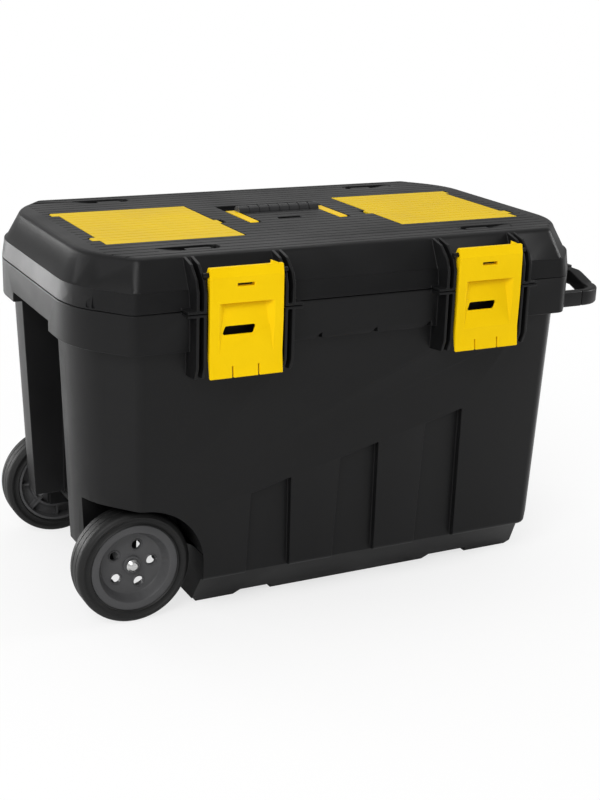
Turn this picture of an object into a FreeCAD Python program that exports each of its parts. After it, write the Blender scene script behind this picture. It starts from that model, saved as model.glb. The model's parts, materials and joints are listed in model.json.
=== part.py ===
import FreeCAD, Part
import math
import os
import re

import Sketcher

# Driving dimensions of the wheeled jobsite box, in millimetres and degrees.
# X runs along the box towards the pull handle, the latches face -Y, and the feet stand on Z = 0.
SIZES = {
    # Outline seen from above, at the parting line
    "chest_length": 738,
    "chest_depth": 450,
    "corner_length": 58.5,
    "corner_depth": 70.5,
    "corner_front_radius": 16,
    "corner_end_radius": 120,
    # Heights over the floor
    "rim_height": 419.5,
    "lid_height": 62.2,
    "lid_gap": 0.8,
    # Tub walls, collar and base
    "wall": 3.6,
    "wall_draft": 2.3,
    "floor_thickness": 4,
    "base_height": 50,
    "base_round": 7,
    "base_ledge": 3,
    "base_draft": 13,
    "base_side_inset": 31,
    "foot_height": 8,
    "foot_slope": 9,
    "foot_heel": 2,
    "left_foot_setback": 169,
    "left_foot_length": 59.5,
    "middle_foot_start": -90,
    "middle_foot_end": 156.5,
    "right_foot_setback": 70,
    "right_foot_length": 75,
    "collar_height": 50,
    "end_collar_height": 36.5,
    "collar_step": 12,
    "notch_start": -65.7,
    "notch_pitch": 79.8,
    "notch_width": 12,
    "notch_height": 7,
    "notch_depth": 8,
    # Relief of the tub's front and back
    "relief_depth": 9,
    "strip_start": -148.5,
    "strip_width": 66.5,
    "strip_pitch": 128,
    "strip_top": 179,
    "strip_rise": 32,
    "strip_slope": 14.5,
    "strip_lean": 5,
    # Recess in the left end, and the bay and arches of the wheels
    "recess_half_width": 78,
    "recess_depth": 65,
    "bay_height": 88,
    "arch_gap": 10,
    "arch_depth": 55,
    # Wheels and axle
    "wheel_setback": 76,
    "wheel_radius": 75.5,
    "wheel_width": 40,
    "wheel_inset": 44,
    "tyre_shoulder": 7,
    "tyre_bead": 3,
    "hub_radius": 58,
    "hub_rim": 10,
    "hub_inset": 2,
    "hub_recess": 14,
    "hub_cone": 7,
    "boss_inset": 10,
    "hub_disc": 5,
    "hub_barrel": 4,
    "hub_boss": 12,
    "hub_ring": 38,
    "hub_web": 3,
    "hub_web_inset": 8,
    "hub_hole": 6.5,
    "hub_hole_circle": 27,
    "hub_hole_lean": 0.26,
    "hub_end_gap": 0.8,
    "axle_radius": 6,
    "axle_cap_radius": 8.5,
    "axle_cap_length": 6,
    "axle_cap_crown": 5,
    "bracket_thickness": 12,
    "bracket_half_length": 22,
    "bracket_drop": 20,
    "running_fit": 0.05,
    # Lid
    "band_height": 24.5,
    "band_draft": 8,
    "band_ledge": 5,
    "lid_slope": 27.8,
    "lid_edge_radius": 9,
    "corner_notch": 13,
    "corner_notch_depth": 2.6,
    "corner_notch_height": 20,
    "corner_notch_place": 0.36,
    "corner_notch_foot": 2,
    "corner_rib_half": 1.8,
    "deck_thickness": 4,
    "groove_pitch": 15.5,
    "groove_width": 1.8,
    "groove_depth": 0.8,
    "groove_end_inset": 47,
    "groove_side_inset": 37,
    # Tie-down pockets in the deck
    "pocket_end_inset": 152,
    "pocket_inset": 61.4,
    "pocket_length": 84.5,
    "pocket_width": 22,
    "pocket_depth": 9,
    "ramp_length": 40,
    "ramp_depth": 4.2,
    "tongue_gap": 11,
    "tongue_width": 11,
    "tongue_drop": 1.2,
    "tongue_thickness": 3,
    # Organiser covers and bins
    "cover_end_inset": 66,
    "cover_start": 117,
    "cover_side_inset": 121,
    "cover_centre": -9,
    "cover_gap": 1,
    "cover_seat": 0.3,
    "cover_hinge_offset": 6,
    "cover_knuckle": 3.2,
    "cover_knuckle_room": 1.5,
    "cover_knuckle_width": 18,
    "cover_knuckle_centre": 3,
    "cover_knuckle_inset": 42,
    "cover_pin_radius": 1.6,
    "cover_pin_overhang": 5,
    "cover_pin_room": 3,
    "pin_end_gap": 0.2,
    "tab_width": 19,
    "tab_reach": 4.5,
    "finger_notch": 11,
    "tab_centre": -20,
    "bin_height": 42,
    "bin_wall": 2.4,
    "bin_ledge": 5,
    "bin_flange": 9,
    "screw_radius": 2,
    "screw_head": 4,
    "screw_length": 4.8,
    "screw_end_gap": 0.3,
    "screw_head_height": 2,
    # Carry handle and its well
    "carry_arm_offset": 67.8,
    "carry_arm_width": 13,
    "carry_arm_height": 12,
    "carry_arm_sink": 0.4,
    "carry_arm_edge": 2,
    "carry_arm_heel": 3,
    "carry_arm_swell": 5,
    "carry_arm_swell_length": 8,
    "carry_pivot": -27,
    "carry_pivot_depth": 7,
    "carry_grip_place": 37,
    "carry_grip_radius": 9.5,
    "carry_grip_depth": 2,
    "carry_ring_pitch": 15.4,
    "carry_ring_half": 1,
    "carry_ring_depth": 0.8,
    "carry_end": 9,
    "carry_gap": 2,
    "carry_front_room": 5,
    "carry_pin_radius": 2.5,
    "carry_ear": 5,
    "carry_ear_half": 4,
    "carry_ear_gap": 0.4,
    "finger_room": 33,
    "deck_slot_start": -27,
    "deck_slot_end": 8,
    "deck_slot_place": -22,
    "deck_slot_width": 9,
    "well_height": 46,
    "well_flange": 12,
    # Latches and their guard ribs
    "latch_offset": 173.5,
    "latch_width": 97,
    "latch_drop": 81,
    "latch_rise": 55,
    "latch_proud": 21,
    "latch_thickness": 7,
    "latch_lip": 3,
    "latch_lip_thickness": 4,
    "latch_edge": 3,
    "latch_crown": 1,
    "latch_top_curve": 12,
    "latch_foot": 26,
    "latch_neck": 8,
    "latch_barrel": 5.7,
    "latch_ear_width": 16,
    "latch_ear_height": 4.5,
    "latch_ear_end": 5,
    "latch_cut_room": 9,
    "dish_drop": 44,
    "dish_foot": 22,
    "dish_flare": 48,
    "dish_skin": 2.6,
    "dish_undercut": 1.8,
    "dish_depth": 7.5,
    "dish_side": 12,
    "window_drop": 10,
    "window_left": 31,
    "window_right": 14,
    "window_half_height": 5.5,
    "window_slant": 4,
    "window_round": 2.6,
    "latch_slot_left": 13,
    "latch_slot_right": 9.7,
    "latch_slot_drop": 24,
    "latch_slot_height": 4,
    "latch_split_left": 18.3,
    "latch_split_right": 16.2,
    "latch_split_half": 0.9,
    "latch_split_height": 14,
    "hook_side_gap": 2,
    "hook_root": 2,
    "hook_height": 12,
    "latch_pin_rise": 46,
    "latch_pin_proud": 14,
    "latch_pin_radius": 3,
    "guard_clearance": 3,
    "guard_thickness": 4,
    "guard_spacing": 9.6,
    "guard_proud": 20,
    "guard_drop": 84,
    "flange_thickness": 3.5,
    "flange_overhang": 11,
    "catch_width": 56,
    "catch_reach": 8,
    "catch_drop": 43,
    "catch_height": 10,
    "catch_clearance": 0.6,
    # Lid hinges at the back
    "hinge_offset": 173.5,
    "hinge_proud": 11,
    "hinge_radius": 9,
    "hinge_foot": 14.4,
    "hinge_pin_radius": 4,
    "hinge_lid_width": 50,
    "hinge_tub_width": 18,
    "hinge_gap": 0.5,
    # Pull handle, its guides and their screws
    "pull_arm_inset": 45,
    "pull_arm_thickness": 12,
    "pull_arm_height": 22,
    "pull_drop": 44.5,
    "pull_standoff": 50,
    "pull_bar": 16,
    "pull_arm_length": 466,
    "pull_corner": 42,
    "pull_inner_corner": 26,
    "pull_prong": 30,
    "pull_rise": 12,
    "pull_grip_half": 114,
    "pull_ramp": 32,
    "pull_sleeve": 2,
    "pull_sleeve_half": 95,
    "guide_length": 362,
    "guide_setback": 16,
    "guide_wall": 3,
    "guide_clearance": 0.3,
    "guide_wall_gap": 0.8,
    "guide_screw_spacing": 240,
    "slot_clearance": 0.6,
    # Overshoot of a cutting block past the face it cuts
    "cut_over": 1,
}

STRIP_COUNT = 3
NOTCH_COUNT = 3
HUB_HOLE_COUNT = 5
HUB_WEB_COUNT = 8
CARRY_RINGS = range(-3, 4)

# Guard ribs seen from the side: distance behind the rib's face, with the distance above its lower end
# for the tub's half and below the deck for the lid's half
TUB_GUARD_CURVE = ((0, 18), (6, 3))
LID_GUARD_CURVE = ((0, 36), (5, 22), (22, 7), (44, 1.5), (50, 8))

# Places that follow from the driving dimensions
PLACES = {
    "deck_height": "(rim_height + lid_gap + lid_height)",
    "cover_width": "(chest_length / 2 - cover_end_inset - cover_start)",
    "cover_depth": "(chest_depth - 2 * cover_side_inset)",
    "cover_knuckle_spacing": "(chest_depth - 2 * cover_side_inset - cover_knuckle_inset)",
    "left_foot_start": "(left_foot_setback - chest_length / 2)",
    "left_foot_end": "(left_foot_setback + left_foot_length - chest_length / 2)",
    "right_foot_start": "(chest_length / 2 - right_foot_setback - right_foot_length)",
    "right_foot_end": "(chest_length / 2 - right_foot_setback)",
    "pocket_offset": "(chest_length / 2 - pocket_end_inset)",
}

# An edge is upright when more than this share of its length is height
UPRIGHT_SHARE = 0.6
TOLERANCE = 0.01

doc = FreeCAD.newDocument("jobsite_storage_box")
sheet = doc.addObject("Spreadsheet::Sheet", "sizes")
for row, (alias, value) in enumerate(SIZES.items(), start=1):
    sheet.set(f"A{row}", alias)
    sheet.set(f"B{row}", str(value))
    sheet.setAlias(f"B{row}", alias)
doc.recompute()

WORD = re.compile(r"[a-z][a-z_]*")
SIDES = {"left": -1, "right": 1}
FACES = {"front": -1, "rear": 1}


def size(alias):
    """One driving dimension as a number."""
    return float(sheet.get(alias))


def ref(text):
    """An expression in which each size's name stands for its cell."""
    text = WORD.sub(lambda word: PLACES.get(word.group(), word.group()), text)
    return WORD.sub(lambda word: "sizes." + word.group() if word.group() in SIZES else word.group(), text)


def mirrored(side, low, high):
    """A stretch on the positive side, or its mirror image on the negative side."""
    return (low, high) if side > 0 else (f"-({high})", f"-({low})")


def about(centre, half):
    """A stretch that reaches equally far to both sides of its centre."""
    return (f"({centre}) - ({half})", f"({centre}) + ({half})")


def place(thing, x, y, z):
    for axis, text in zip("xyz", (x, y, z)):
        thing.setExpression("Placement.Base." + axis, ref(text))


def block(name, x, y, z):
    """A box between a low and a high value on each axis."""
    box = doc.addObject("Part::Box", name)
    for prop, (low, high) in zip(("Length", "Width", "Height"), (x, y, z)):
        box.setExpression(prop, ref(f"({high}) - ({low})"))
    place(box, x[0], y[0], z[0])
    return box


TURN_TO = {
    "x": FreeCAD.Rotation(FreeCAD.Vector(0, 1, 0), 90),
    "y": FreeCAD.Rotation(FreeCAD.Vector(1, 0, 0), -90),
    "z": FreeCAD.Rotation(),
}


def rod(name, axis, radius, centre, stretch):
    """A round bar along an axis; its centre gives the two other coordinates in X, Y, Z order."""
    bar = doc.addObject("Part::Cylinder", name)
    bar.Placement = FreeCAD.Placement(FreeCAD.Vector(), TURN_TO[axis])
    bar.setExpression("Radius", ref(radius))
    bar.setExpression("Height", ref(f"({stretch[1]}) - ({stretch[0]})"))
    where = list(centre)
    where.insert("xyz".index(axis), stretch[0])
    place(bar, *where)
    return bar


def join(name, *pieces):
    result = doc.addObject("Part::MultiFuse", name)
    result.Shapes = list(pieces)
    result.Refine = True
    return result


def cut(name, base, *tools):
    result = doc.addObject("Part::Cut", name)
    result.Base = base
    result.Tool = tools[0] if len(tools) == 1 else join(name + "_tools", *tools)
    result.Refine = True
    return result


def group(name, pieces):
    result = doc.addObject("Part::Compound", name)
    result.Links = list(pieces)
    return result


def attached_sketch(body, plane, level):
    """An empty sketch on one of the body's origin planes, lifted along the plane's normal."""
    sketch = body.newObject("Sketcher::SketchObject", body.Name + "_sketch")
    support = next(f for f in body.Origin.OriginFeatures if f.Role == plane + "_Plane")
    sketch.AttachmentSupport = [(support, "")]
    sketch.MapMode = "FlatFace"
    sketch.setExpression("AttachmentOffset.Base.z", ref(level))
    return sketch


def hold_point(sketch, edge, end, x, y):
    """Tie one point of a sketch to the sketch's origin by its two coordinates."""
    for kind, text in (("DistanceX", x), ("DistanceY", y)):
        number = sketch.addConstraint(Sketcher.Constraint(kind, -1, 1, edge, end, 1.0))
        sketch.setExpression(f"Constraints[{number}]", ref(text))


def polygon(body, plane, level, points):
    """A closed sketch through the given corners, each tied to its own coordinates."""
    sketch = attached_sketch(body, plane, level)
    count = len(points)
    turns = [2 * math.pi * i / count for i in range(count)]
    rough = [FreeCAD.Vector(math.cos(turn), math.sin(turn), 0) for turn in turns]
    for i in range(count):
        sketch.addGeometry(Part.LineSegment(rough[i], rough[(i + 1) % count]), False)
    for i in range(count):
        sketch.addConstraint(Sketcher.Constraint("Coincident", i, 2, (i + 1) % count, 1))
    for i, (x, y) in enumerate(points):
        hold_point(sketch, i, 1, x, y)
    return sketch


def circle(body, plane, level, x, y, radius):
    sketch = attached_sketch(body, plane, level)
    sketch.addGeometry(Part.Circle(FreeCAD.Vector(), FreeCAD.Vector(0, 0, 1), 1.0), False)
    hold_point(sketch, 0, 3, x, y)
    number = sketch.addConstraint(Sketcher.Constraint("Radius", 0, 1.0))
    sketch.setExpression(f"Constraints[{number}]", ref(radius))
    return sketch


def pad(body, sketch, length, taper="0", downwards=False):
    feature = body.newObject("PartDesign::Pad", body.Name + "_pad")
    feature.Profile = sketch
    feature.setExpression("Length", ref(length))
    feature.setExpression("TaperAngle", ref(taper))
    feature.Reversed = downwards
    return feature


def new_body(name):
    return doc.addObject("PartDesign::Body", name)


def prism(name, plane, points, stretch):
    """A straight bar with a polygon section, between two values on the axis across its plane."""
    low, high = stretch
    body = new_body(name)
    level = f"-({high})" if plane == "XZ" else low
    pad(body, polygon(body, plane, level, points), f"({high}) - ({low})")
    return body


def round_edges(body, base, radius, chosen):
    """Fillet the edges of a body's feature that a test picks out."""
    doc.recompute()
    fillet = body.newObject("PartDesign::Fillet", body.Name + "_round")
    fillet.Base = (base, [f"Edge{i}" for i, edge in enumerate(base.Shape.Edges, start=1) if chosen(edge)])
    fillet.setExpression("Radius", ref(radius))
    body.Tip = fillet
    return fillet


def turn(body, points):
    """A ring or disc turned about the body's Y axis from a section of radius and axial place."""
    section = polygon(body, "XY", "0", points)
    turned = body.newObject("PartDesign::Revolution", body.Name + "_turned")
    turned.Profile = section
    turned.ReferenceAxis = (section, ["V_Axis"])
    turned.Angle = 360
    body.Tip = turned
    return turned


def revolved(name, points):
    body = new_body(name)
    return body, turn(body, points)


def around_axle(body, feature, count):
    """Repeat a feature evenly round the body's Y axis."""
    pattern = body.newObject("PartDesign::PolarPattern", body.Name + "_pattern")
    pattern.Originals = [feature]
    pattern.Axis = (feature.Profile[0], ["N_Axis"])
    pattern.Angle = 360
    pattern.Occurrences = count
    body.Tip = pattern
    return pattern


# Shared outlines and places

FAR = "chest_length"
EVERYWHERE = (f"-{FAR}", FAR)
TUB_TOP = "rim_height - collar_height"
LID_BASE = "rim_height + lid_gap"
BAND_TOP = f"{LID_BASE} + band_height"
DECK_UNDER = "deck_height - deck_thickness"
FRONT = "chest_depth / 2"
END = "chest_length / 2"
RECESS_WALL = f"({END} - recess_depth)"
WHEEL_OFFSET = f"({END} - wheel_setback)"
WHEEL_FACE = f"({FRONT} - wheel_inset)"
BOSS_FACE = f"({WHEEL_FACE} - hub_inset - boss_inset)"
ARCH_WALL = f"({WHEEL_FACE} - arch_depth)"
GROOVE_END = f"({END} - groove_end_inset)"
POCKET_SIDE = f"({FRONT} - pocket_inset)"
LATCH_BOTTOM = "(rim_height - latch_drop)"
LATCH_TOP = "(rim_height + latch_rise)"
LATCH_MIDDLE = "(rim_height + (latch_rise - latch_drop) / 2)"
LATCH_FACE = f"({FRONT} + latch_proud)"
LATCH_BACK = f"({LATCH_FACE} - latch_thickness)"
LATCH_PIN_HEIGHT = "(rim_height + latch_pin_rise)"
LATCH_PIN_PLACE = f"({FRONT} + latch_pin_proud)"
GUARD_FACE = f"({FRONT} + guard_proud)"
GUARD_BOTTOM = "(rim_height - guard_drop)"
CATCH_TOP = "(rim_height - catch_drop)"
HINGE_PLACE = f"({FRONT} + hinge_proud)"
PULL_ARM_PLACE = f"({FRONT} - pull_arm_inset)"
PULL_HEIGHT = "(rim_height - pull_drop)"
PULL_REACH = f"({END} + pull_standoff)"
PULL_INNER = f"({PULL_REACH} - pull_bar)"
PULL_ROOT = f"({PULL_INNER} - pull_prong)"
PULL_TAIL = f"({PULL_INNER} - pull_arm_length)"
GUIDE_END = f"({END} - collar_step - wall - corner_length - guide_setback)"
GUIDE_START = f"({GUIDE_END} - guide_length)"
GUIDE_MIDDLE = f"({GUIDE_END} - guide_length / 2)"


def outline(inset):
    """The chest seen from above: eight corners, drawn in by a margin."""
    end = f"(chest_length / 2 - ({inset}))"
    side = f"(chest_depth / 2 - ({inset}))"
    end_flat = f"({side} - corner_depth)"
    side_flat = f"({end} - corner_length)"
    right = [(side_flat, "-" + side), (end, "-" + end_flat), (end, end_flat), (side_flat, side)]
    return right + [("-" + x, y) for x, y in reversed(right)]


def is_upright(edge):
    first, last = edge.Vertexes[0].Point, edge.Vertexes[-1].Point
    return abs(last.z - first.z) > UPRIGHT_SHARE * (last - first).Length


def rounded_corners(body, feature, inset="0"):
    """Round the eight upright corners, tighter at the long sides than at the ends."""
    doc.recompute()
    places = [abs(edge.CenterOfMass.y) for edge in feature.Shape.Edges if is_upright(edge)]
    halfway = (max(places) + min(places)) / 2
    feature = round_edges(body, feature, f"corner_front_radius - ({inset})",
                          lambda edge: is_upright(edge) and abs(edge.CenterOfMass.y) > halfway)
    return round_edges(body, feature, f"corner_end_radius - ({inset})",
                       lambda edge: is_upright(edge) and abs(edge.CenterOfMass.y) < halfway)


# Tub

def wall_inset(level):
    """How far the drafted wall of the tub stands behind the collar's face at a height."""
    return f"collar_step + ({TUB_TOP} - ({level})) * tan(wall_draft)"


def drafted(name, margin, draft, top, bottom, inset):
    """A block that narrows downwards from the outline drawn in by a margin, with corners for an inset."""
    body = new_body(name)
    sketch = polygon(body, "XY", top, outline(margin))
    walls = pad(body, sketch, f"({top}) - ({bottom})", f"-{draft}", downwards=True)
    rounded_corners(body, walls, inset)
    return body


def tub_wall(name, inset, top, bottom):
    """A drafted block that follows the tub's walls at an inset, between two heights."""
    return drafted(name, f"{wall_inset(top)} + ({inset})", "wall_draft", top, bottom, inset)


def base_side(level, inset):
    """Half the depth of the tub's base at a height, drawn in by an inset."""
    share = f"(base_height - ({level})) / (base_height - foot_height)"
    wall_foot = f"{FRONT} - ({wall_inset('base_height')}) - relief_depth"
    return f"({wall_foot} - ({inset}) - base_side_inset * {share})"


def tub_base(name, inset, top, bottom):
    """The narrower base under the walls, which slopes in to the feet."""
    spread = f"({top} - base_height) * tan(base_draft)"
    margin = f"{wall_inset('base_height')} + base_ledge + ({inset}) - {spread}"
    low, high = base_side(bottom, inset), base_side(top, inset)
    section = [(f"-{low}", bottom), (low, bottom), (high, top), (f"-{high}", top)]
    rounded = drafted(name + "_round", margin, "base_draft", top, bottom, inset)
    slopes = prism(name + "_slopes", "YZ", section, EVERYWHERE)
    result = doc.addObject("Part::MultiCommon", name)
    result.Shapes = [rounded, slopes]
    return result


def tub_outside():
    collar = new_body("tub_collar")
    ring = pad(collar, polygon(collar, "XY", TUB_TOP, outline("0")), "collar_height")
    rounded_corners(collar, ring)
    walls = tub_wall("tub_wall", "0", TUB_TOP, "base_height")
    foot = size("base_height")
    round_edges(walls, walls.Tip, "base_round", lambda edge: abs(edge.CenterOfMass.z - foot) < TOLERANCE)
    return [walls, tub_base("tub_base", "0", "base_height + wall / 2", "0"), collar]


def tub_relief(name, margin):
    """The tall strips with slanted tops in the front and back, grown by a margin."""
    core = tub_wall(f"{name}_core", f"relief_depth + ({margin})", TUB_TOP, "0")
    pieces = []
    for i in range(STRIP_COUNT):
        left = f"strip_start + {i} * strip_pitch - ({margin})"
        right = f"strip_start + {i} * strip_pitch + strip_width + ({margin})"
        top = f"strip_top + {i} * strip_rise + ({margin})"
        corners = [(left, "0"), (right, "0"), (f"{right} - strip_lean", top),
                   (f"{left} + strip_lean", f"{top} - strip_slope")]
        pieces.append(prism(f"{name}_strip_{i}", "XZ", corners, EVERYWHERE))
    return cut(name, join(f"{name}_space", *pieces), core)


def tub_cavity():
    """The space inside the tub, down to the floor in its base."""
    ledge = "base_height + wall"
    inside = tub_wall("tub_inside", "wall", "rim_height + cut_over", ledge)
    base = tub_base("base_inside", "wall", f"{ledge} + cut_over", "foot_height + floor_thickness")
    return cut("tub_cavity", join("tub_space", inside, base), left_end_spaces("end_wall", "wall"),
               tub_relief("relief_wall", "wall"))


def left_end_spaces(name, margin):
    """The end recess, the wheel bay and the two arches, grown by a margin."""
    pieces = [
        block(name + "_recess", (f"-{FAR}", f"-({RECESS_WALL} - ({margin}))"),
              about("0", f"recess_half_width + ({margin})"),
              ("-cut_over", f"rim_height - end_collar_height + ({margin})")),
        block(name + "_bay", (f"-{FAR}", f"-({WHEEL_OFFSET} - wheel_radius - arch_gap) + ({margin})"),
              EVERYWHERE, ("-cut_over", f"bay_height + ({margin})")),
    ]
    for face, sign in FACES.items():
        depth = mirrored(sign, f"{ARCH_WALL} - ({margin})", FAR)
        radius = f"wheel_radius + arch_gap + ({margin})"
        pieces.append(rod(f"{name}_{face}_arch", "y", radius, (f"-{WHEEL_OFFSET}", "wheel_radius"), depth))
        pieces.append(block(f"{name}_{face}_arch_side", (f"-{FAR}", f"-{WHEEL_OFFSET}"), depth,
                            ("-cut_over", f"wheel_radius + {radius}")))
    return join(name, *pieces)


def collar_notches():
    """Small three-cornered notches at the foot of the collar, between the latches."""
    notches = []
    for i in range(NOTCH_COUNT):
        middle = f"notch_start + {i} * notch_pitch"
        corners = [(f"{middle} - notch_width / 2", TUB_TOP), (f"{middle} + notch_width / 2", TUB_TOP),
                   (f"{middle} + notch_width / 2", f"{TUB_TOP} + notch_height")]
        depth = (f"-({FRONT} + cut_over)", f"-({FRONT} - notch_depth)")
        notches.append(prism(f"collar_notch_{i}", "XZ", corners, depth))
    return notches


def guard_places():
    """Name and X stretch of every guard rib: a close pair on each side of each latch."""
    for end, end_sign in SIDES.items():
        for side, side_sign in SIDES.items():
            for number in range(2):
                near = f"latch_width / 2 + guard_clearance + {number} * guard_spacing"
                low, high = mirrored(side_sign, near, f"{near} + guard_thickness")
                centre = f"{end_sign} * latch_offset"
                yield f"{end}_{side}_{number}", (f"{centre} + {low}", f"{centre} + {high}")


def flange_places():
    """Name and X stretch of the small shelves at the parting line, across each pair of ribs."""
    for end, end_sign in SIDES.items():
        for side, side_sign in SIDES.items():
            near = "latch_width / 2 + guard_clearance"
            far = f"{near} + guard_spacing + guard_thickness + flange_overhang"
            low, high = mirrored(side_sign, near, far)
            centre = f"{end_sign} * latch_offset"
            yield f"{end}_{side}", (f"{centre} + {low}", f"{centre} + {high}")


def tub_front_fittings():
    buried = f"-({FRONT} - collar_step - wall / 2)"
    profile = [(buried, "rim_height"), (f"-{GUARD_FACE}", "rim_height")]
    profile += [(f"-({GUARD_FACE} - {back})", f"{GUARD_BOTTOM} + {up}") for back, up in TUB_GUARD_CURVE]
    profile.append((buried, GUARD_BOTTOM))
    pieces = [prism("tub_guard_" + name, "YZ", profile, stretch) for name, stretch in guard_places()]
    for name, stretch in flange_places():
        pieces.append(block("tub_flange_" + name, stretch, (f"-{GUARD_FACE}", f"-({FRONT} - wall)"),
                            ("rim_height - flange_thickness", "rim_height")))
    for name, sign in SIDES.items():
        pieces.append(block(f"{name}_catch", about(f"{sign} * latch_offset", "catch_width / 2"),
                            (f"-({FRONT} + catch_reach)", f"-({FRONT} - wall)"),
                            (f"{CATCH_TOP} - catch_height", CATCH_TOP)))
    return pieces


def hinge_pieces(name, stretches, seat):
    """Round knuckles on the hinge line, each with a foot that reaches the back of the chest."""
    pieces = []
    for number, stretch in enumerate(stretches):
        pieces.append(rod(f"{name}_{number}", "x", "hinge_radius", (HINGE_PLACE, "rim_height"), stretch))
        pieces.append(block(f"{name}_foot_{number}", stretch, (f"{FRONT} - wall", HINGE_PLACE), seat))
    return pieces


def tub_knuckles():
    stretches = []
    for sign in SIDES.values():
        for side in SIDES.values():
            near = "hinge_lid_width / 2 + hinge_gap"
            low, high = mirrored(side, near, f"{near} + hinge_tub_width")
            stretches.append((f"{sign} * hinge_offset + {low}", f"{sign} * hinge_offset + {high}"))
    return hinge_pieces("tub_knuckle", stretches, ("rim_height - hinge_foot", "rim_height"))


def hinge_bores(name):
    reach = "hinge_lid_width / 2 + hinge_gap + hinge_tub_width"
    return [rod(f"{name}_{side}", "x", "hinge_pin_radius + running_fit", (HINGE_PLACE, "rim_height"),
                about(f"{sign} * hinge_offset", f"{reach} + cut_over")) for side, sign in SIDES.items()]


def foot_gaps():
    """The low gaps under the base, which leave its three feet; each foot ends in a slope on its right."""
    ends = [(f"-{FAR}", "left_foot_start"), ("left_foot_end", "middle_foot_start"),
            ("middle_foot_end", "right_foot_start"), ("right_foot_end", FAR)]
    return [prism(f"foot_gap_{number}", "XZ", [
        (f"{left} - foot_slope / 2", "-cut_over"),
        (f"{right} + foot_heel / 2", "-cut_over"),
        (f"{right} - foot_heel / 2", "foot_height"),
        (f"{left} + foot_slope / 2", "foot_height"),
    ], EVERYWHERE) for number, (left, right) in enumerate(ends)]


def axle_brackets():
    """The brackets that carry the axle under the raised bay."""
    pieces = []
    for face, sign in FACES.items():
        pieces.append(block(f"{face}_axle_bracket", about(f"-{WHEEL_OFFSET}", "bracket_half_length"),
                            mirrored(sign, f"{ARCH_WALL} - bracket_thickness", ARCH_WALL),
                            ("wheel_radius - bracket_drop", "bay_height + wall / 2")))
    return pieces


def handle_slots():
    half = "pull_arm_thickness / 2 + slot_clearance"
    length = (f"{GUIDE_END} - cut_over", FAR)
    return [block(f"{face}_handle_slot", length, about(f"{sign} * {PULL_ARM_PLACE}", half),
                  about(PULL_HEIGHT, "pull_arm_height / 2 + slot_clearance"))
            for face, sign in FACES.items()]


def guide_screw_places():
    for face, sign in FACES.items():
        for side, side_sign in SIDES.items():
            x = f"{GUIDE_MIDDLE} + {side_sign} * guide_screw_spacing / 2"
            yield f"{face}_{side}", sign, x


def make_tub():
    outside = join("tub_outside", *tub_outside(), *tub_front_fittings(), *tub_knuckles())
    carved = cut("tub_carved", outside, tub_relief("relief", "0"), left_end_spaces("end_space", "0"),
                 *collar_notches(), *foot_gaps())
    bracketed = join("tub_bracketed", carved, *axle_brackets())
    screw_holes = [rod(f"guide_hole_{name}", "y", "screw_radius + running_fit", (x, PULL_HEIGHT),
                       mirrored(sign, PULL_ARM_PLACE, f"{FRONT} - collar_step + wall"))
                   for name, sign, x in guide_screw_places()]
    axle_bore = rod("axle_bore", "y", "axle_radius + running_fit", (f"-{WHEEL_OFFSET}", "wheel_radius"),
                    EVERYWHERE)
    bores = [axle_bore] + hinge_bores("tub_bore") + screw_holes
    hollow = cut("tub_hollow", bracketed, tub_cavity())
    return cut("tub_shell", hollow, *handle_slots(), *bores)


# Lid

def lid_block(name, inset, top):
    """The lid's solid form: a steep band, a small ledge, and sides that slope to the deck."""
    body = new_body(name)
    pad(body, polygon(body, "XY", LID_BASE, outline(inset)), "band_height", "-band_draft")
    upper = polygon(body, "XY", BAND_TOP, outline(f"{inset} + band_ledge"))
    return body, pad(body, upper, f"({top}) - ({BAND_TOP})", "-lid_slope")


def lid_outside():
    body, form = lid_block("lid_outside", "0", "deck_height")
    form = rounded_corners(body, form)
    top = size("rim_height") + size("lid_gap") + size("lid_height") - TOLERANCE
    round_edges(body, form, "lid_edge_radius", lambda edge: edge.BoundBox.ZMin > top)
    return body


def lid_front_fittings():
    buried = f"-({FRONT} - wall)"
    profile = [(buried, LID_BASE), (f"-{GUARD_FACE}", LID_BASE)]
    profile += [(f"-({GUARD_FACE} - {back})", f"deck_height - {down}") for back, down in LID_GUARD_CURVE]
    profile.append((f"-({FRONT} - 2 * wall)", BAND_TOP))
    pieces = [prism("lid_guard_" + name, "YZ", profile, stretch) for name, stretch in guard_places()]
    for name, stretch in flange_places():
        pieces.append(block("lid_flange_" + name, stretch, (f"-{GUARD_FACE}", buried),
                            (LID_BASE, f"{LID_BASE} + flange_thickness")))
    return pieces


def lid_knuckles():
    stretches = [about(f"{sign} * hinge_offset", "hinge_lid_width / 2") for sign in SIDES.values()]
    return hinge_pieces("lid_knuckle", stretches, (LID_BASE, f"{LID_BASE} + hinge_foot"))


def corner_notches():
    """A shallow upright notch, split by a rib, in each cut corner of the lid."""
    run = "sqrt(corner_length ^ 2 + corner_depth ^ 2)"
    along = (f"corner_length / {run}", f"corner_depth / {run}")
    notches = []
    for end, end_sign in SIDES.items():
        for face, sign in FACES.items():
            for number, (first, last) in enumerate((("-corner_notch / 2", "-corner_rib_half"),
                                                    ("corner_rib_half", "corner_notch / 2"))):
                corners = []
                for step, depth in ((first, "-cut_over"), (last, "-cut_over"), (last, "corner_notch_depth"),
                                    (first, "corner_notch_depth")):
                    reach = f"(corner_notch_place * {run} + {step})"
                    x = f"chest_length / 2 - {reach} * {along[0]} - ({depth}) * {along[1]}"
                    y = f"chest_depth / 2 - corner_depth + {reach} * {along[1]} - ({depth}) * {along[0]}"
                    corners.append((f"{end_sign} * ({x})", f"{sign} * ({y})"))
                height = (f"{LID_BASE} + corner_notch_foot", f"{LID_BASE} + corner_notch_height")
                notches.append(prism(f"corner_notch_{end}_{face}_{number}", "XY", corners, height))
    return notches


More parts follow.
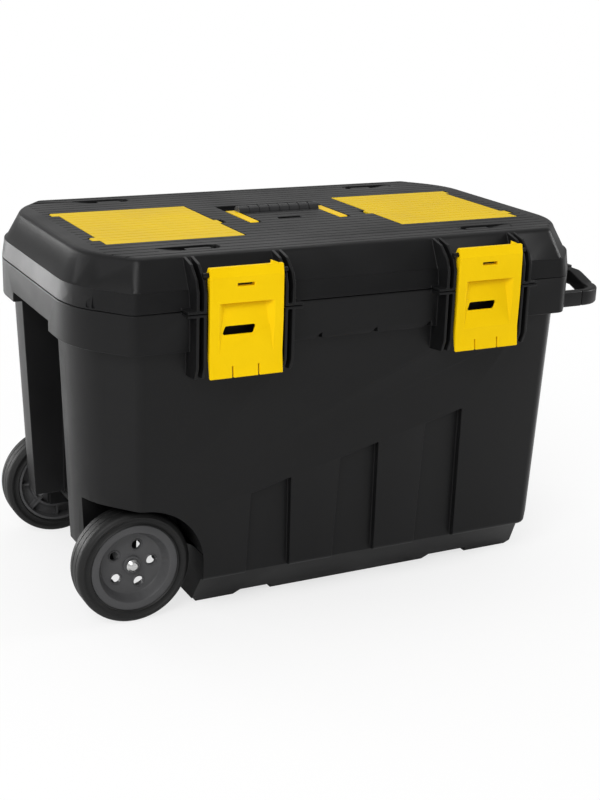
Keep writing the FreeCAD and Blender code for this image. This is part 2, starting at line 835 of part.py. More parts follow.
def pocket_places():
    for end, end_sign in SIDES.items():
        for face, sign in FACES.items():
            yield f"{end}_{face}", end_sign, f"{end_sign} * pocket_offset", f"{sign} * {POCKET_SIDE}"


def long_hole(name, x, y, length, width, heights):
    """A slot with round ends, along X."""
    straight = f"({length} - ({width})) / 2"
    pieces = [block(name + "_middle", about(x, straight), about(y, f"({width}) / 2"), heights)]
    for sign in SIDES.values():
        pieces.append(rod(f"{name}_end", "z", f"({width}) / 2", (f"{x} + {sign} * {straight}", y), heights))
    return join(name, *pieces)


def pocket_cups():
    """Thick places under the deck for the tie-down pockets."""
    bottom = "deck_height - pocket_depth - wall"
    return [long_hole("cup_" + name, x, y, "(pocket_length + 2 * wall)", "(pocket_width + 2 * wall)",
                      (bottom, f"{DECK_UNDER} + cut_over")) for name, _, x, y in pocket_places()]


def pocket_spaces():
    """Each pocket's recess, less the ramp at its outer end and the tongue that a strap hooks under."""
    spaces = []
    root = "pocket_offset + pocket_length / 2 - ramp_length"
    tip = "pocket_offset - pocket_length / 2 + tongue_gap + tongue_width / 2"
    outer = "pocket_offset + pocket_length / 2"
    floor = "deck_height - pocket_depth - cut_over"
    thickness = ("deck_height - tongue_drop - tongue_thickness", "deck_height - tongue_drop")
    for name, end_sign, x, y in pocket_places():
        hole = long_hole("pocket_" + name, x, y, "pocket_length", "pocket_width",
                         ("deck_height - pocket_depth", "deck_height + cut_over"))
        corners = [(root, floor), (outer, floor), (outer, "deck_height"), (root, "deck_height - ramp_depth")]
        section = [(f"{end_sign} * ({along})", height) for along, height in corners]
        ramp = prism("ramp_" + name, "XZ", section, about(y, "pocket_width"))
        tongue = block("tongue_" + name, mirrored(end_sign, tip, f"{root} + cut_over"),
                       about(y, "tongue_width / 2"), thickness)
        tongue_end = rod("tongue_end_" + name, "z", "tongue_width / 2", (f"{end_sign} * ({tip})", y),
                         thickness)
        spaces.append(cut("pocket_space_" + name, hole, ramp, tongue, tongue_end))
    return spaces


def groove_lines():
    reach = size("chest_depth") / 2 - size("groove_side_inset")
    half_count = int(reach // size("groove_pitch"))
    return [f"{number} * groove_pitch" for number in range(-half_count, half_count + 1)]


def grooves(name, x, lines):
    return group(name, [block(f"{name}_{number}", x, about(line, "groove_width / 2"),
                              ("deck_height - groove_depth", "deck_height + cut_over"))
                        for number, line in enumerate(lines)])


def cover_stretch(sign, margin):
    return mirrored(sign, f"cover_start - ({margin})", f"cover_start + cover_width + ({margin})")


def cover_axis(sign):
    return f"{sign} * (cover_start + cover_width + cover_hinge_offset)"


COVER_AXIS_HEIGHT = "deck_height - cover_knuckle"


def cover_knuckle_lines():
    return [f"cover_knuckle_centre + {sign} * cover_knuckle_spacing / 2" for sign in SIDES.values()]


def cover_spaces(name, sign):
    """Deck opening for a cover, the hollows of its knuckles and the finger notch at its tab."""
    through = (f"{DECK_UNDER} - cut_over", "deck_height + cut_over")
    pieces = [block(f"{name}_opening", cover_stretch(sign, "cover_gap"),
                    about("cover_centre", "cover_depth / 2 + cover_gap"), through)]
    tab = mirrored(sign, "cover_start - finger_notch", "cover_start")
    pieces.append(block(f"{name}_notch", tab, about("tab_centre", "tab_width / 2 + cover_gap"), through))
    edge = "cover_start + cover_width"
    hollow = mirrored(sign, edge, f"{edge} + cover_hinge_offset + cover_knuckle + cover_knuckle_room")
    for number, line in enumerate(cover_knuckle_lines()):
        pieces.append(block(f"{name}_hollow_{number}", hollow,
                            about(line, "cover_knuckle_width / 2 + cover_gap"), through))
    return pieces


def cover_pin_rods(name, sign, radius, reach):
    return [rod(f"{name}_{number}", "y", radius, (cover_axis(sign), COVER_AXIS_HEIGHT),
                about(line, f"cover_knuckle_width / 2 + ({reach})"))
            for number, line in enumerate(cover_knuckle_lines())]


def cover_pin_beds():
    """Thick places under the deck that carry the ends of the cover pins."""
    beds = []
    for name, sign in SIDES.items():
        for number, line in enumerate(cover_knuckle_lines()):
            for side, side_sign in SIDES.items():
                near = "cover_knuckle_width / 2 + cover_gap"
                low, high = mirrored(side_sign, near, f"{near} + cover_pin_overhang + cover_gap")
                height = ("deck_height - 2 * cover_knuckle - cover_gap", f"{DECK_UNDER} + cut_over")
                beds.append(block(f"{name}_pin_bed_{number}_{side}",
                                  about(cover_axis(sign), "cover_knuckle - cover_gap / 2"),
                                  (f"{line} + {low}", f"{line} + {high}"), height))
    return beds


CARRY_HALF = "carry_arm_width / 2 + carry_gap"
CARRY_FRONT = "carry_pivot - carry_end - carry_front_room"
CARRY_BACK = "carry_grip_place + carry_grip_radius + finger_room"


def carry_spaces():
    """Deck openings of the carry handle: arm slots, the trough of the grip, and the small slot before it."""
    through = (f"{DECK_UNDER} - cut_over", "deck_height + cut_over")
    trough_front = "carry_grip_place - carry_grip_radius - carry_gap"
    pieces = [block("carry_trough", about("0", f"carry_arm_offset + {CARRY_HALF}"),
                    (trough_front, CARRY_BACK), through),
              block("deck_slot", ("deck_slot_start", "deck_slot_end"),
                    about("deck_slot_place", "deck_slot_width / 2"), through)]
    for name, sign in SIDES.items():
        pieces.append(block(f"{name}_arm_slot", about(f"{sign} * carry_arm_offset", CARRY_HALF),
                            (CARRY_FRONT, f"{trough_front} + cut_over"), through))
    return pieces


def deck_screw_places():
    """Screws through the flanges of the bins and of the handle well, up into the deck."""
    for name, sign in SIDES.items():
        for side in SIDES.values():
            for face in FACES.values():
                x = f"{sign} * (cover_start + cover_width / 2 + {side} * cover_width / 4)"
                y = f"cover_centre + {face} * (cover_depth / 2 + cover_gap + bin_flange / 2)"
                yield "bin", x, y
    for side in SIDES.values():
        x = f"{side} * carry_arm_offset"
        yield "well", x, f"{CARRY_FRONT} - (well_flange + bin_wall) / 2"
        yield "well", x, f"{CARRY_BACK} + (well_flange + bin_wall) / 2"


def make_lid():
    outside = join("lid_form", lid_outside(), *lid_front_fittings(), *lid_knuckles())
    inside, form = lid_block("lid_inside", "wall", DECK_UNDER)
    rounded_corners(inside, form, "wall")
    hollow = cut("lid_hollow", outside, inside, *corner_notches())
    thick = join("lid_thick", hollow, *pocket_cups(), *cover_pin_beds())
    spaces = pocket_spaces() + carry_spaces() + hinge_bores("lid_bore")
    for name, sign in SIDES.items():
        spaces += cover_spaces(name, sign)
        spaces += cover_pin_rods(f"{name}_pin_bore", sign, "cover_pin_radius + running_fit",
                                 "cover_pin_overhang")
        reach = "latch_width / 2 + guard_clearance + guard_thickness + cut_over"
        spaces.append(rod(f"{name}_latch_bore", "x", "latch_pin_radius + running_fit",
                          (f"-{LATCH_PIN_PLACE}", LATCH_PIN_HEIGHT),
                          about(f"{sign} * latch_offset", reach)))
    hole_height = (f"{DECK_UNDER} - cut_over", f"{DECK_UNDER} - bin_wall + screw_length + screw_end_gap")
    for number, (_, x, y) in enumerate(deck_screw_places()):
        spaces.append(rod(f"deck_screw_hole_{number}", "z", "screw_radius + running_fit", (x, y),
                          hole_height))
    plain = cut("lid_plain", thick, *spaces)
    return cut("lid_shell", plain, grooves("deck_groove", about("0", GROOVE_END), groove_lines()))


def make_bin(name, sign):
    """Open tray that hangs under the deck and carries the closed cover on its rim."""
    stretch = mirrored(sign, "cover_start", "cover_start + cover_width")
    depth = about("cover_centre", "cover_depth / 2")
    rim = ("cover_gap", "bin_flange")

    def grown(span, margin):
        return (f"{span[0]} - ({margin})", f"{span[1]} + ({margin})")

    floor = f"{DECK_UNDER} - bin_height"
    flange = block(f"{name}_flange", grown(stretch, " + ".join(rim)), grown(depth, " + ".join(rim)),
                   (f"{DECK_UNDER} - bin_wall", DECK_UNDER))
    cup = block(f"{name}_cup", grown(stretch, "bin_wall - bin_ledge"), grown(depth, "bin_wall - bin_ledge"),
                (floor, DECK_UNDER))
    space = block(f"{name}_space", grown(stretch, "-bin_ledge"), grown(depth, "-bin_ledge"),
                  (f"{floor} + bin_wall", "deck_height"))
    centre = f"{sign} * (cover_start + cover_width / 2)"
    dividers = [
        block(f"{name}_long_divider", about(centre, "bin_wall / 2"), grown(depth, "-bin_ledge"),
              (floor, f"{DECK_UNDER} - bin_wall")),
        block(f"{name}_cross_divider", grown(stretch, "-bin_ledge"), about("cover_centre", "bin_wall / 2"),
              (floor, f"{DECK_UNDER} - bin_wall")),
    ]
    hollows = [block(f"{name}_hinge_room_{number}", about(cover_axis(sign), "cover_knuckle + 2 * cover_gap"),
                     about(line, "cover_knuckle_width / 2 + cover_pin_room + cover_pin_overhang"),
                     (f"{DECK_UNDER} - 2 * bin_wall", "deck_height"))
               for number, line in enumerate(cover_knuckle_lines())]
    holes = [rod(f"{name}_screw_hole_{number}", "z", "screw_radius + running_fit", (x, y),
                 (f"{DECK_UNDER} - 2 * bin_wall", "deck_height"))
             for number, (_, x, y) in enumerate(deck_screw_places())]
    tray = cut(f"{name}_tray", join(f"{name}_solid", flange, cup), space, *hollows, *holes)
    return join(f"{name}_bin", tray, *dividers)


def make_cover(name, sign):
    """Ribbed plate with a finger tab on its inner edge and two hinge knuckles on its outer edge."""
    bottom = f"{DECK_UNDER} + cover_seat"
    plate = block(f"{name}_plate", cover_stretch(sign, "0"), about("cover_centre", "cover_depth / 2"),
                  (bottom, "deck_height"))
    tab = block(f"{name}_tab", mirrored(sign, "cover_start - tab_reach", "cover_start + cut_over"),
                about("tab_centre", "tab_width / 2"), (bottom, "deck_height"))
    solids = [plate, tab]
    lug_depth = "cover_knuckle_width / 2"
    for number, line in enumerate(cover_knuckle_lines()):
        solids.append(rod(f"{name}_knuckle_{number}", "y", "cover_knuckle",
                          (cover_axis(sign), COVER_AXIS_HEIGHT), about(line, lug_depth)))
        edge = "cover_start + cover_width"
        lug = mirrored(sign, f"{edge} - cut_over", f"{edge} + cover_hinge_offset")
        solids.append(block(f"{name}_lug_{number}", lug, about(line, lug_depth), (bottom, "deck_height")))
    reach = size("chest_depth") / 2 - size("cover_side_inset") - size("groove_pitch") / 3
    centre = size("cover_centre")
    pitch = size("groove_pitch")
    lines = [line for line in groove_lines() if abs(int(line.split(" ")[0]) * pitch - centre) < reach]
    lined = grooves(f"{name}_cover_groove", cover_stretch(sign, "cut_over"), lines)
    bores = cover_pin_rods(f"{name}_cover_bore", sign, "cover_pin_radius + running_fit", "cut_over")
    solid = join(f"{name}_cover_solid", *solids)
    return cut(f"{name}_cover", cut(f"{name}_cover_bored", solid, *bores), lined)


def make_well():
    """Open box under the carry handle, with ears that carry the handle's pivot pins."""
    half = f"carry_arm_offset + {CARRY_HALF}"
    floor = f"{DECK_UNDER} - well_height"
    wide = about("0", f"{half} + well_flange")
    flange = block("well_rim", wide, (f"{CARRY_FRONT} - well_flange", f"{CARRY_BACK} + well_flange"),
                   (f"{DECK_UNDER} - bin_wall", DECK_UNDER))
    cup = block("well_cup", about("0", f"{half} + bin_wall"),
                (f"{CARRY_FRONT} - bin_wall", f"{CARRY_BACK} + bin_wall"), (floor, DECK_UNDER))
    space = block("well_space", about("0", half), (CARRY_FRONT, CARRY_BACK),
                  (f"{floor} + bin_wall", "deck_height"))
    pivot = ("carry_pivot", "deck_height - carry_pivot_depth")
    ears = []
    for name, sign in SIDES.items():
        arm_half = "carry_arm_width / 2 + carry_ear_gap"
        for side, side_sign in SIDES.items():
            low, high = mirrored(side_sign, arm_half, f"{arm_half} + carry_ear")
            centre = f"{sign} * carry_arm_offset"
            ears.append(block(f"{name}_{side}_ear", (f"{centre} + {low}", f"{centre} + {high}"),
                              about("carry_pivot", "carry_ear_half"), (floor, DECK_UNDER)))
    holes = [rod(f"well_screw_hole_{number}", "z", "screw_radius + running_fit", (x, y),
                 (f"{DECK_UNDER} - 2 * bin_wall", "deck_height"))
             for number, (_, x, y) in enumerate(deck_screw_places())]
    tray = cut("well_tray", join("well_solid", flange, cup), space, *holes)
    bores = carry_pin_rods("well_bore", "carry_pin_radius + running_fit", "pin_end_gap")
    return cut("handle_well", join("well_eared", tray, *ears), *bores)


def carry_pin_rods(name, radius, reach):
    half = f"carry_arm_width / 2 + carry_ear_gap + carry_ear + ({reach})"
    return [rod(f"{name}_{side}", "x", radius, ("carry_pivot", "deck_height - carry_pivot_depth"),
                about(f"{sign} * carry_arm_offset", half)) for side, sign in SIDES.items()]


def make_carry_arm(name, sign):
    """Flat arm from its pivot pin to the grip."""
    front = "carry_pivot - carry_end"
    back = "carry_grip_place + carry_grip_radius + carry_arm_edge"
    top = "deck_height - carry_arm_sink"
    under = f"{top} - carry_arm_height"
    profile = [
        (front, f"{under} + carry_arm_heel"),
        (f"{front} + carry_arm_heel", under),
        (f"{back} - carry_arm_swell_length", f"{under} - carry_arm_swell"),
        (back, under),
        (back, f"{top} - carry_arm_edge"),
        (f"{back} - carry_arm_edge", top),
        (f"{front} + carry_arm_edge", top),
        (front, f"{top} - carry_arm_edge"),
    ]
    bar = prism(f"{name}_arm_bar", "YZ", profile, about(f"{sign} * carry_arm_offset", "carry_arm_width / 2"))
    bore = carry_pin_rods(f"{name}_arm_bore", "carry_pin_radius + running_fit", "cut_over")
    return cut(f"{name}_carry_arm", bar, *bore)


def make_carry_grip():
    """Round grip between the arms, with fine rings turned into it."""
    inner = "carry_arm_offset - carry_arm_width / 2"
    line = ("carry_grip_place", "deck_height - carry_grip_depth")
    bar = rod("grip_bar", "x", "carry_grip_radius", line, about("0", inner))
    waists = []
    for number in CARRY_RINGS:
        middle = f"{number} * carry_ring_pitch"
        around = rod(f"grip_ring_{number}", "x", "carry_grip_radius + cut_over", line,
                     about(middle, "carry_ring_half"))
        core = rod(f"grip_core_{number}", "x", "carry_grip_radius - carry_ring_depth", line,
                   about(middle, "carry_ring_half + cut_over"))
        waists.append(cut(f"grip_waist_{number}", around, core))
    return cut("carry_grip", bar, *waists)


# Latches

def latch_dish(name, centre):
    """The finger recess flaring at its sides, the skin behind its floor, and the slit along its top."""
    top, foot = f"{LATCH_TOP} - dish_drop", f"{LATCH_BOTTOM} + dish_foot"
    half = "latch_width / 2 - dish_side"
    mouth_face = f"{LATCH_FACE} + latch_crown"
    deepest = f"-({LATCH_FACE} - dish_depth)"
    section = [(deepest, top), (f"-({mouth_face})", foot), (f"-({mouth_face})", top)]
    floor = prism(f"{name}_dish_floor", "YZ", section, about(centre, half))
    mouth = new_body(f"{name}_dish_mouth")
    left, right = about(centre, half)
    above = f"{top} + latch_width"
    opening = polygon(mouth, "XZ", mouth_face, [(left, foot), (right, foot), (right, above), (left, above)])
    pad(mouth, opening, "dish_depth + 2 * latch_crown", "-dish_flare", downwards=True)
    dish = doc.addObject("Part::MultiCommon", f"{name}_latch_dish")
    dish.Shapes = [floor, mouth]
    skin = f"-({LATCH_FACE} - dish_depth - dish_skin)"
    backing = prism(f"{name}_dish_backing", "YZ", [
        (skin, f"{top} + dish_skin"),
        (f"-{LATCH_BACK}", f"{top} + 2 * dish_skin"),
        (f"-({LATCH_FACE} - dish_depth / 2)", f"({top} + {foot}) / 2"),
        (skin, f"{top} - dish_skin"),
    ], about(centre, half))
    undercut = block(f"{name}_dish_undercut", about(centre, f"{half} - dish_depth * tan(dish_flare)"),
                     (f"-({mouth_face})", f"-({LATCH_FACE} - dish_depth - 2 * dish_skin)"),
                     (f"{top} - dish_undercut", top))
    return dish, backing, undercut


def make_latch(name, sign):
    """Pull-down latch: a plate with a dished finger recess, a window, and a hook on its back."""
    centre = f"{sign} * latch_offset"
    across = about(centre, "latch_width / 2")
    before = f"-({LATCH_FACE} + latch_cut_room)"
    behind = f"-({LATCH_BACK} - latch_cut_room)"
    pivot = (f"-{LATCH_PIN_PLACE}", LATCH_PIN_HEIGHT)
    plate = prism(f"{name}_latch_plate", "YZ", [
        (f"-({LATCH_BACK} - latch_lip_thickness)", f"{LATCH_TOP} - latch_lip_thickness"),
        (f"-({LATCH_BACK} - latch_crown)", LATCH_TOP),
        (f"-({LATCH_FACE} - latch_edge)", LATCH_TOP),
        (f"-{LATCH_FACE}", f"{LATCH_TOP} - latch_top_curve"),
        (f"-({LATCH_FACE} + latch_crown)", LATCH_MIDDLE),
        (f"-{LATCH_FACE}", f"{LATCH_BOTTOM} + latch_foot"),
        (f"-({LATCH_FACE} + latch_lip)", LATCH_BOTTOM),
        (f"-({LATCH_FACE} + latch_lip - latch_lip_thickness)", LATCH_BOTTOM),
        (f"-{LATCH_BACK}", f"{LATCH_BOTTOM} + latch_foot"),
        (f"-({LATCH_BACK} + latch_crown)", LATCH_MIDDLE),
        (f"-({LATCH_BACK} - latch_edge)", f"{LATCH_PIN_HEIGHT} - latch_neck"),
    ], across)
    barrel = rod(f"{name}_latch_barrel", "x", "latch_barrel", pivot, across)
    hook_top = f"{CATCH_TOP} - catch_height - catch_clearance"
    hook = block(f"{name}_latch_hook", about(centre, "catch_width / 2 - hook_side_gap"),
                 (f"-({LATCH_BACK} + hook_root)", f"-({FRONT} + catch_reach + catch_clearance)"),
                 (f"{hook_top} - hook_height", hook_top))
    edge = f"{centre} + latch_width / 2"
    ear = prism(f"{name}_latch_ear", "XZ", [
        (f"{edge} - latch_ear_width", f"{LATCH_TOP} - latch_ear_height"),
        (f"{edge} - latch_ear_end", f"{LATCH_TOP} - latch_ear_height"),
        (f"{edge} - latch_ear_end", LATCH_TOP),
        (f"{edge} - latch_ear_width", f"{LATCH_TOP} + latch_ear_height"),
    ], (f"-({LATCH_FACE} - latch_edge)", f"-({LATCH_BACK} - latch_crown)"))
    dish, backing, undercut = latch_dish(name, centre)
    low, high = about(f"{LATCH_MIDDLE} - window_drop", "window_half_height")
    window = prism(f"{name}_latch_window", "XZ", [
        (f"{centre} - window_left", low),
        (f"{centre} + window_right - window_slant", low),
        (f"{centre} + window_right", high),
        (f"{centre} - window_left + window_slant", high),
    ], (before, behind))
    round_edges(window, window.Tip, "window_round", lambda line: line.BoundBox.YLength > TOLERANCE)
    slot_foot = f"{LATCH_TOP} - latch_slot_drop"
    slot = block(f"{name}_latch_slot", (f"{centre} - latch_slot_left", f"{centre} + latch_slot_right"),
                 (before, behind), (slot_foot, f"{slot_foot} + latch_slot_height"))
    splits = [block(f"{name}_latch_split_{number}", about(f"{centre} + {offset}", "latch_split_half"),
                    (before, behind), (f"{LATCH_BOTTOM} - cut_over", f"{LATCH_BOTTOM} + latch_split_height"))
              for number, offset in enumerate(("-latch_split_left", "latch_split_right"))]
    bore = rod(f"{name}_latch_pin_bore", "x", "latch_pin_radius + running_fit", pivot,
               about(centre, "latch_width"))
    solid = join(f"{name}_latch_solid", plate, barrel, hook, ear, backing)
    return cut(f"{name}_latch", solid, dish, undercut, window, slot, bore, *splits)


def make_latch_pin(name, sign):
    reach = "latch_width / 2 + guard_clearance + guard_thickness"
    return rod(f"{name}_latch_pin", "x", "latch_pin_radius", (f"-{LATCH_PIN_PLACE}", LATCH_PIN_HEIGHT),
               about(f"{sign} * latch_offset", reach))


def make_hinge_pin(name, sign):
    reach = "hinge_lid_width / 2 + hinge_gap + hinge_tub_width"
    return rod(f"{name}_hinge_pin", "x", "hinge_pin_radius", (HINGE_PLACE, "rim_height"),
               about(f"{sign} * hinge_offset", reach))


# Wheels

def make_hub(face, sign):
    """Dished plastic hub with a rim, five holes, and webs and a ring on its inner side."""

    def inward(depth):
        return f"{sign} * ({WHEEL_FACE} - hub_inset - ({depth}))"

    disc_back = "hub_recess + hub_disc"
    barrel_end = "wheel_width - 2 * hub_inset"
    boss_end = f"{WHEEL_FACE} - hub_inset - {ARCH_WALL} - hub_end_gap"
    bore = "axle_radius + running_fit"
    body, _ = revolved(f"{face}_wheel_hub", [
        (bore, inward("boss_inset")),
        ("hub_boss", inward("boss_inset")),
        ("hub_boss", inward("hub_recess")),
        ("hub_radius - hub_rim - hub_cone", inward("hub_recess")),
        ("hub_radius - hub_rim", inward("0")),
        ("hub_radius", inward("0")),
        ("hub_radius", inward(barrel_end)),
        ("hub_radius - hub_barrel", inward(barrel_end)),
        ("hub_radius - hub_barrel", inward(disc_back)),
        ("hub_boss", inward(disc_back)),
        ("hub_boss", inward(boss_end)),
        (bore, inward(boss_end)),
    ])
    web_end = f"{barrel_end} - hub_web_inset"
    hub_face = f"{WHEEL_FACE} - hub_inset"
    low, high = mirrored(sign, f"{hub_face} - ({web_end})", f"{hub_face} - ({disc_back})")
    web = pad(body, polygon(body, "XZ", f"-({high})", [
        ("hub_boss - cut_over", "-hub_web / 2"),
        ("hub_radius - hub_barrel + cut_over", "-hub_web / 2"),
        ("hub_radius - hub_barrel + cut_over", "hub_web / 2"),
        ("hub_boss - cut_over", "hub_web / 2"),
    ]), f"({high}) - ({low})")
    around_axle(body, web, HUB_WEB_COUNT)
    turn(body, [
        ("hub_ring - hub_web / 2", low),
        ("hub_ring + hub_web / 2", low),
        ("hub_ring + hub_web / 2", high),
        ("hub_ring - hub_web / 2", high),
    ])
    hole = body.newObject("PartDesign::Pocket", f"{face}_hub_hole")
    hole.Profile = circle(body, "XZ", "0", "hub_hole_circle * hub_hole_lean",
                          "hub_hole_circle * sqrt(1 - hub_hole_lean ^ 2)", "hub_hole")
    hole.Type = "ThroughAll"
    hole.Midplane = True
    around_axle(body, hole, HUB_HOLE_COUNT)
    place(body, f"-{WHEEL_OFFSET}", "0", "wheel_radius")
    return body


def make_tyre(face, sign):
    outer, inner = WHEEL_FACE, f"{WHEEL_FACE} - wheel_width"
    body, ring = revolved(f"{face}_wheel_tyre", [
        ("hub_radius", f"{sign} * ({inner} + hub_inset)"),
        ("hub_radius + tyre_bead", f"{sign} * ({inner})"),
        ("wheel_radius", f"{sign} * ({inner})"),
        ("wheel_radius", f"{sign} * ({outer})"),
        ("hub_radius + tyre_bead", f"{sign} * ({outer})"),
        ("hub_radius", f"{sign} * ({outer} - hub_inset)"),
    ])
    tread = size("wheel_radius") - TOLERANCE
    round_edges(body, ring, "tyre_shoulder",
                lambda edge: edge.BoundBox.XMax > tread and len(edge.Vertexes) == 1)
    place(body, f"-{WHEEL_OFFSET}", "0", "wheel_radius")
    return body


def make_axle():
    return rod("axle", "y", "axle_radius", (f"-{WHEEL_OFFSET}", "wheel_radius"), about("0", BOSS_FACE))


def make_axle_cap(face, sign):
    """Domed push-on cap outside the hub's boss, which keeps the wheel on its axle."""
    body, turned = revolved(f"{face}_axle_cap", [
        ("0", f"{sign} * ({BOSS_FACE} + hub_end_gap / 2)"),
        ("axle_cap_radius", f"{sign} * ({BOSS_FACE} + hub_end_gap / 2)"),
        ("axle_cap_radius", f"{sign} * ({BOSS_FACE} + axle_cap_length / 2)"),
        ("axle_cap_crown", f"{sign} * ({BOSS_FACE} + axle_cap_length)"),
        ("0", f"{sign} * ({BOSS_FACE} + axle_cap_length)"),
    ])
    place(body, f"-{WHEEL_OFFSET}", "0", "wheel_radius")
    return body


# Pull handle

def pull_corners(name, sign):
    """The end of an arm that belongs to the bar, a web in the inner corner, and the cut of the outer one."""
    height = about(PULL_HEIGHT, "pull_arm_height / 2")
    outside = f"{PULL_ARM_PLACE} + pull_arm_thickness / 2"
    inside = f"{PULL_ARM_PLACE} - pull_arm_thickness / 2"
    prong = block(f"{name}_prong", (PULL_ROOT, PULL_REACH), mirrored(sign, inside, outside), height)
    web = block(f"{name}_web", (f"{PULL_INNER} - pull_inner_corner", PULL_INNER),
                mirrored(sign, f"{inside} - pull_inner_corner", inside), height)
    hollow = rod(f"{name}_web_hollow", "z", "pull_inner_corner",
                 (f"{PULL_INNER} - pull_inner_corner", f"{sign} * ({inside} - pull_inner_corner)"), height)
    corner = block(f"{name}_corner", (f"{PULL_REACH} - pull_corner", f"{PULL_REACH} + cut_over"),
                   mirrored(sign, f"{outside} - pull_corner", f"{outside} + cut_over"), height)
    bend = rod(f"{name}_bend", "z", "pull_corner",
               (f"{PULL_REACH} - pull_corner", f"{sign} * ({outside} - pull_corner)"), height)
    return [prong, cut(f"{name}_web_piece", web, hollow)], cut(f"{name}_corner_space", corner, bend)


def make_pull_bar():
    """Cross bar that rises to the grip between two ramps, with the bends to both arms."""
    half = f"{PULL_ARM_PLACE} + pull_arm_thickness / 2"
    low = f"{PULL_HEIGHT} - pull_arm_height / 2"
    high = f"{PULL_HEIGHT} + pull_arm_height / 2"
    ramp_foot = "pull_grip_half + pull_ramp"
    under = [(f"-({half})", low), (f"-({ramp_foot})", low), ("-pull_grip_half", f"{low} + pull_rise"),
             ("pull_grip_half", f"{low} + pull_rise"), (ramp_foot, low), (half, low)]
    over = [(half, high), (ramp_foot, high), ("pull_grip_half", f"{high} + pull_rise"),
            ("-pull_grip_half", f"{high} + pull_rise"), (f"-({ramp_foot})", high), (f"-({half})", high)]
    solids = [prism("pull_bar_piece", "YZ", under + over, (PULL_INNER, PULL_REACH))]
    spaces = []
    for face, sign in FACES.items():
        pieces, space = pull_corners(f"{face}_pull", sign)
        solids += pieces
        spaces.append(space)
    return cut("pull_handle_bar", join("pull_bar_solid", *solids), *spaces)


def make_pull_arm(face, sign):
    half = "pull_arm_thickness / 2"
    return block(f"{face}_pull_arm", (PULL_TAIL, PULL_ROOT), about(f"{sign} * {PULL_ARM_PLACE}", half),
                 about(PULL_HEIGHT, "pull_arm_height / 2"))


def make_pull_grip():
    """Soft sleeve round the raised middle of the cross bar."""
    middle = f"{PULL_HEIGHT} + pull_rise"
    length = about("0", "pull_sleeve_half")
    outer = block("sleeve_outer", (f"{PULL_INNER} - pull_sleeve", f"{PULL_REACH} + pull_sleeve"), length,
                  about(middle, "pull_arm_height / 2 + pull_sleeve"))
    inner = block("sleeve_inner", (PULL_INNER, PULL_REACH), about("0", "pull_sleeve_half + cut_over"),
                  about(middle, "pull_arm_height / 2"))
    return cut("pull_handle_grip", outer, inner)


def make_guide(face, sign):
    """Straight channel inside the tub in which one arm of the pull handle slides."""
    length = (GUIDE_START, GUIDE_END)
    inner_face = f"{PULL_ARM_PLACE} - pull_arm_thickness / 2 - guide_clearance"
    wall_face = f"{FRONT} - collar_step - wall - guide_wall_gap"
    high = "pull_arm_height / 2 + guide_clearance"
    outer = block(f"{face}_guide_outer", length, mirrored(sign, f"{inner_face} - guide_wall", wall_face),
                  about(PULL_HEIGHT, f"{high} + guide_wall"))
    space = block(f"{face}_guide_space", (f"{GUIDE_START} - cut_over", f"{GUIDE_END} + cut_over"),
                  about(f"{sign} * {PULL_ARM_PLACE}", "pull_arm_thickness / 2 + guide_clearance"),
                  about(PULL_HEIGHT, high))
    back = f"{PULL_ARM_PLACE} + pull_arm_thickness / 2 + guide_clearance + guide_wall"
    lightening = block(f"{face}_guide_back", (f"{GUIDE_START} - cut_over", f"{GUIDE_END} + cut_over"),
                       mirrored(sign, back, f"{wall_face} + cut_over"),
                       about(PULL_HEIGHT, f"{high} - guide_wall"))
    holes = [rod(f"{face}_guide_screw_hole_{name}", "y", "screw_radius + running_fit", (x, PULL_HEIGHT),
                 mirrored(sign, PULL_ARM_PLACE, f"{FRONT}"))
             for name, hole_sign, x in guide_screw_places() if hole_sign == sign]
    return cut(f"{face}_handle_guide", outer, space, lightening, *holes)


# Screws

def make_guide_screws():
    """Screws between each guide and the tub's wall, with their heads in the guide."""
    back = f"{PULL_ARM_PLACE} + pull_arm_thickness / 2 + guide_clearance + guide_wall"
    screws = []
    for name, sign, x in guide_screw_places():
        shank = rod(f"guide_shank_{name}", "y", "screw_radius", (x, PULL_HEIGHT),
                    mirrored(sign, f"{back} - guide_wall", f"{FRONT} - collar_step"))
        head = rod(f"guide_head_{name}", "y", "screw_head", (x, PULL_HEIGHT),
                   mirrored(sign, back, f"{back} + screw_head_height"))
        screws.append(join(f"guide_screw_{name}", shank, head))
    return group("guide_screws", screws)


def make_deck_screws(kind):
    under = f"{DECK_UNDER} - bin_wall"
    screws = []
    for number, (place_kind, x, y) in enumerate(deck_screw_places()):
        if place_kind == kind:
            shank = rod(f"{kind}_shank_{number}", "z", "screw_radius", (x, y),
                        (under, f"{under} + screw_length"))
            head = rod(f"{kind}_head_{number}", "z", "screw_head", (x, y),
                       (f"{under} - screw_head_height", under))
            screws.append(join(f"{kind}_screw_{number}", shank, head))
    return group(f"{kind}_screws", screws)


def build_all():
    pieces = [make_tub(), make_lid(), make_well(), make_carry_grip(), make_axle(), make_pull_bar(),
              make_pull_grip(), make_guide_screws(), make_deck_screws("bin"), make_deck_screws("well"),
              group("carry_pins", carry_pin_rods("carry_pin", "carry_pin_radius", "0"))]
    for name, sign in SIDES.items():
        pieces += [make_bin(name, sign), make_cover(name, sign), make_carry_arm(name, sign),
                   make_latch(name, sign), make_latch_pin(name, sign), make_hinge_pin(name, sign)]
        pins = cover_pin_rods(f"{name}_cover_pin", sign, "cover_pin_radius",
                              "cover_pin_overhang - pin_end_gap")
        pieces.append(group(f"{name}_cover_pins", pins))
    for face, sign in FACES.items():
        pieces += [make_hub(face, sign), make_tyre(face, sign), make_axle_cap(face, sign),
                   make_pull_arm(face, sign), make_guide(face, sign)]
    return pieces


